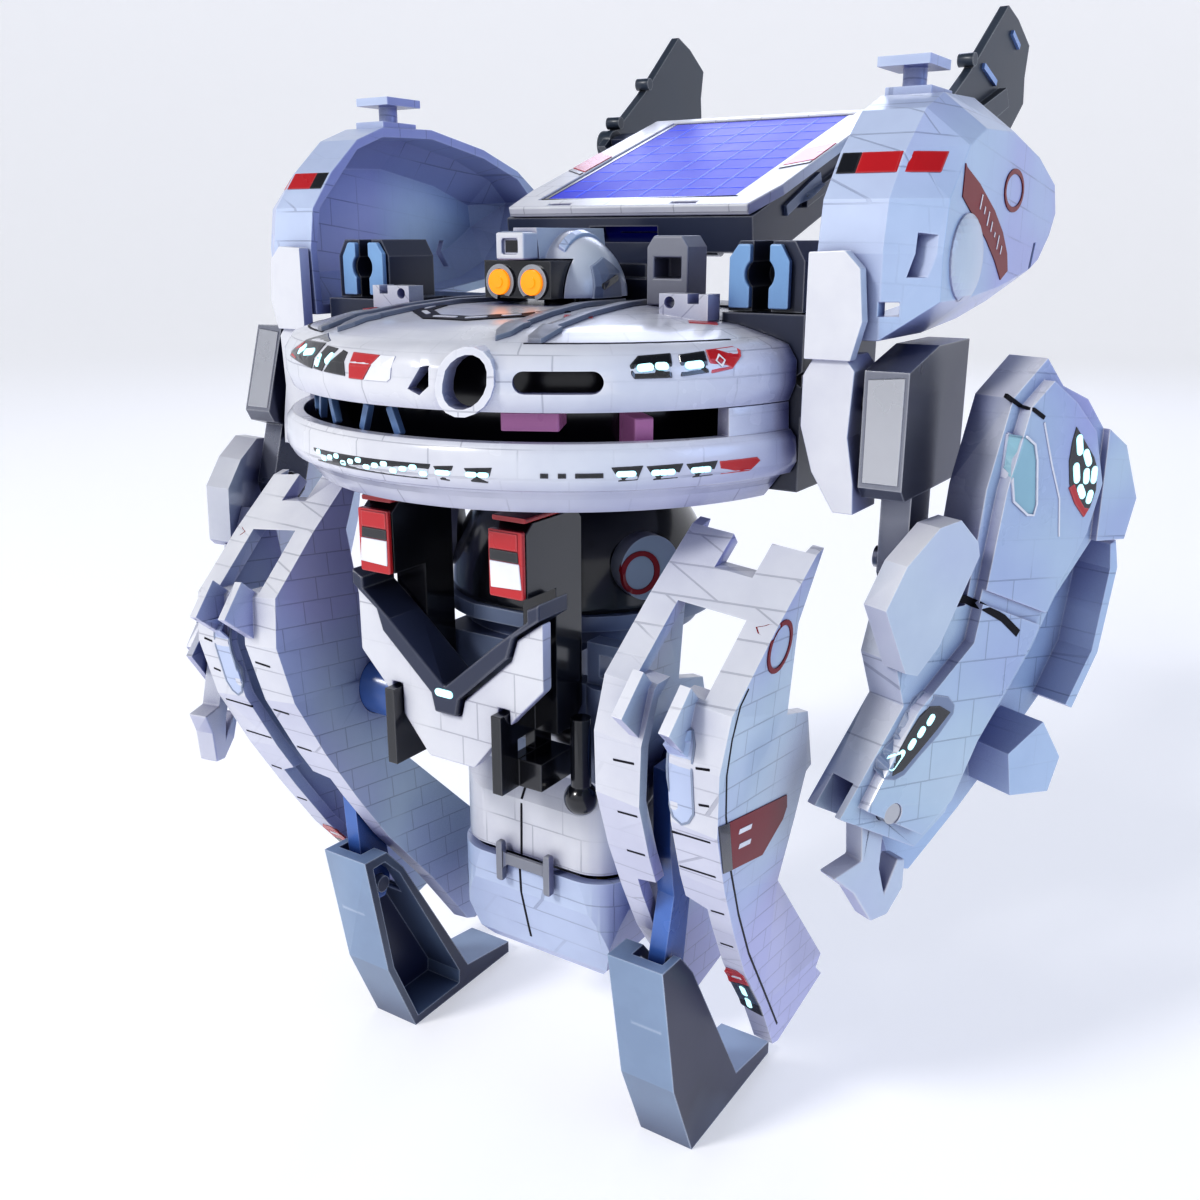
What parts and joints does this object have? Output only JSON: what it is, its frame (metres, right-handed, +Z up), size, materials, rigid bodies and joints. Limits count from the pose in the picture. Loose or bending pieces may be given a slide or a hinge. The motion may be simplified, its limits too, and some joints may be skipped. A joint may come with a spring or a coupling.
{
  "type": "solar-powered robot kit figure",
  "caption": "Solar robot kit figure with a saucer torso, bowed legs, jointed arms with pods and claws, a swivel head and a tilting solar panel with fins.",
  "frame": {"origin": "centre of the bounding box on the floor under the feet", "axes": "+Z up, robot faces -Y, its own left side is +X"},
  "size_m": [0.1482, 0.1405, 0.1686],
  "materials": {
    "shell_white": "satin white",
    "shell_blue": "satin pale blue",
    "blue_grey": "satin blue grey",
    "strut_blue": "satin light blue",
    "navy": "satin dark blue",
    "fin_dark": "satin dark grey",
    "black_gloss": "polished black",
    "grey": "satin grey",
    "red": "gloss dark red",
    "pink_guide": "gloss pink",
    "link_blue": "gloss blue",
    "cell_blue": "high gloss blue",
    "amber_light": "lit amber lens",
    "cyan_light": "lit cyan lens",
    "steel": "brushed",
    "brass": "satin",
    "gear_white": "matt"
  },
  "bodies": {
    "chassis": {"upper_saucer_shell": "shell_white", "lower_saucer_ring": "shell_white", "control_housing": "black_gloss", "truss_struts": "strut_blue", "light_guides": "pink_guide", "backbone_frame": "navy", "deck_rails": "grey", "clip_blocks": "navy", "clip_faces": "strut_blue", "centre_latch": "grey", "shoulder_pins": "steel", "panel_pedestal": "navy", "v_plate": "shell_white", "v_trim": "navy", "posts": "black_gloss", "post_caps": "red", "dome_cover": "black_gloss", "ring_boss": "grey", "hip_housing": "blue_grey", "hip_axle": "steel", "gearbox_upper": "shell_white", "gearbox_lower": "shell_blue", "gearbox_clip": "grey", "ball_lever": "black_gloss", "drive_motor": "steel", "frame_screws": "steel"},
    "head": {"head_hood": "blue_grey", "head_visor": "black_gloss", "eye_lamps": "amber_light", "crest_sensor": "shell_white"},
    "solar_module": {"panel_base": "navy", "panel_frame": "shell_white", "solar_cell": "cell_blue", "panel_hinge_pin": "steel"},
    "left_fin_body": {"left_fin": "fin_dark"},
    "right_fin_body": {"right_fin": "fin_dark"},
    "pinion": {"drive_pinion": "brass"},
    "gear_shaft": {"drive_gear": "gear_white"},
    "left_pod": {"left_neck_bracket": "shell_white", "left_shoulder_pod": "shell_blue"},
    "left_upper_arm": {"left_elbow_box": "navy"},
    "left_forearm": {"left_forearm_shell": "shell_blue", "left_rear_shell": "shell_blue", "left_elbow_pad": "shell_white", "left_arm_pins": "steel"},
    "left_claw_body": {"left_claw": "shell_white"},
    "left_leg": {"left_leg_shell": "shell_white", "left_leg_link": "link_blue"},
    "left_foot_body": {"left_foot": "navy"},
    "right_pod": {"right_neck_bracket": "shell_white", "right_shoulder_pod": "shell_blue"},
    "right_upper_arm": {"right_elbow_box": "navy"},
    "right_forearm": {"right_forearm_shell": "shell_blue", "right_rear_shell": "shell_blue", "right_elbow_pad": "shell_white", "right_arm_pins": "steel"},
    "right_claw_body": {"right_claw": "shell_white"},
    "right_leg": {"right_leg_shell": "shell_white", "right_leg_link": "link_blue"},
    "right_foot_body": {"right_foot": "navy"}
  },
  "joints": [
    {"name": "head_swivel", "type": "hinge", "parent": "chassis", "child": "head", "pos_m": [0, -0.0317, 0.118], "axis": [0, 0, 1], "range_deg": [-45, 45]},
    {"name": "panel_tilt", "type": "hinge", "parent": "chassis", "child": "solar_module", "pos_m": [0, -0.01206, 0.1284], "axis": [1, 0, 0], "range_deg": [-6, 14]},
    {"name": "left_fin_fold", "type": "hinge", "parent": "solar_module", "child": "left_fin_body", "pos_m": [0.0315, 0.03089, 0.14655], "axis": [1, 0, 0], "range_deg": [-25, 35]},
    {"name": "right_fin_fold", "type": "hinge", "parent": "solar_module", "child": "right_fin_body", "pos_m": [-0.0315, 0.03089, 0.14655], "axis": [1, 0, 0], "range_deg": [-25, 35]},
    {"name": "left_pod_flip", "type": "hinge", "parent": "chassis", "child": "left_pod", "pos_m": [0.045, -0.0359, 0.111], "axis": [1, 0, 0], "range_deg": [0, 25]},
    {"name": "left_shoulder", "type": "hinge", "parent": "chassis", "child": "left_upper_arm", "pos_m": [0.05, -0.0359, 0.111], "axis": [1, 0, 0], "range_deg": [-20, 0]},
    {"name": "left_elbow", "type": "hinge", "parent": "left_upper_arm", "child": "left_forearm", "pos_m": [0.0524, -0.0327, 0.091], "axis": [1, 0, 0], "range_deg": [-35, 15]},
    {"name": "left_claw_grip", "type": "hinge", "parent": "left_forearm", "child": "left_claw_body", "pos_m": [0.05246, -0.03929, 0.0604], "axis": [0.9063, -0.4226, 0], "range_deg": [-20, 15]},
    {"name": "left_hip", "type": "hinge", "parent": "chassis", "child": "left_leg", "pos_m": [0.026, -0.0457, 0.062], "axis": [1, 0, 0], "range_deg": [-12, 12]},
    {"name": "left_ankle", "type": "hinge", "parent": "left_leg", "child": "left_foot_body", "pos_m": [0.0275, -0.0482, 0.028], "axis": [1, 0, 0], "range_deg": [-10, 8]},
    {"name": "right_pod_flip", "type": "hinge", "parent": "chassis", "child": "right_pod", "pos_m": [-0.045, -0.0359, 0.111], "axis": [1, 0, 0], "range_deg": [0, 25]},
    {"name": "right_shoulder", "type": "hinge", "parent": "chassis", "child": "right_upper_arm", "pos_m": [-0.05, -0.0359, 0.111], "axis": [1, 0, 0], "range_deg": [-8, 15]},
    {"name": "right_elbow", "type": "hinge", "parent": "right_upper_arm", "child": "right_forearm", "pos_m": [-0.0524, -0.03869, 0.09094], "axis": [1, 0, 0], "range_deg": [-35, 15]},
    {"name": "right_claw_grip", "type": "hinge", "parent": "right_forearm", "child": "right_claw_body", "pos_m": [-0.05246, -0.05394, 0.0636], "axis": [-0.9063, -0.4042, 0.1236], "range_deg": [-20, 15]},
    {"name": "right_hip", "type": "hinge", "parent": "chassis", "child": "right_leg", "pos_m": [-0.026, -0.0457, 0.062], "axis": [1, 0, 0], "range_deg": [-12, 12]},
    {"name": "right_ankle", "type": "hinge", "parent": "right_leg", "child": "right_foot_body", "pos_m": [-0.0275, -0.0482, 0.028], "axis": [1, 0, 0], "range_deg": [-10, 8]},
    {"name": "pinion_spin", "type": "hinge", "parent": "chassis", "child": "pinion", "pos_m": [0.007, -0.0287, 0.0288], "axis": [1, 0, 0], "continuous": true},
    {"name": "gear_spin", "type": "hinge", "parent": "chassis", "child": "gear_shaft", "pos_m": [0.007, -0.0287, 0.0425], "axis": [1, 0, 0], "continuous": true}
  ],
  "couplings": [
    {"joint": "pinion_spin", "follows": "gear_spin", "ratio": -2.4}
  ]
}
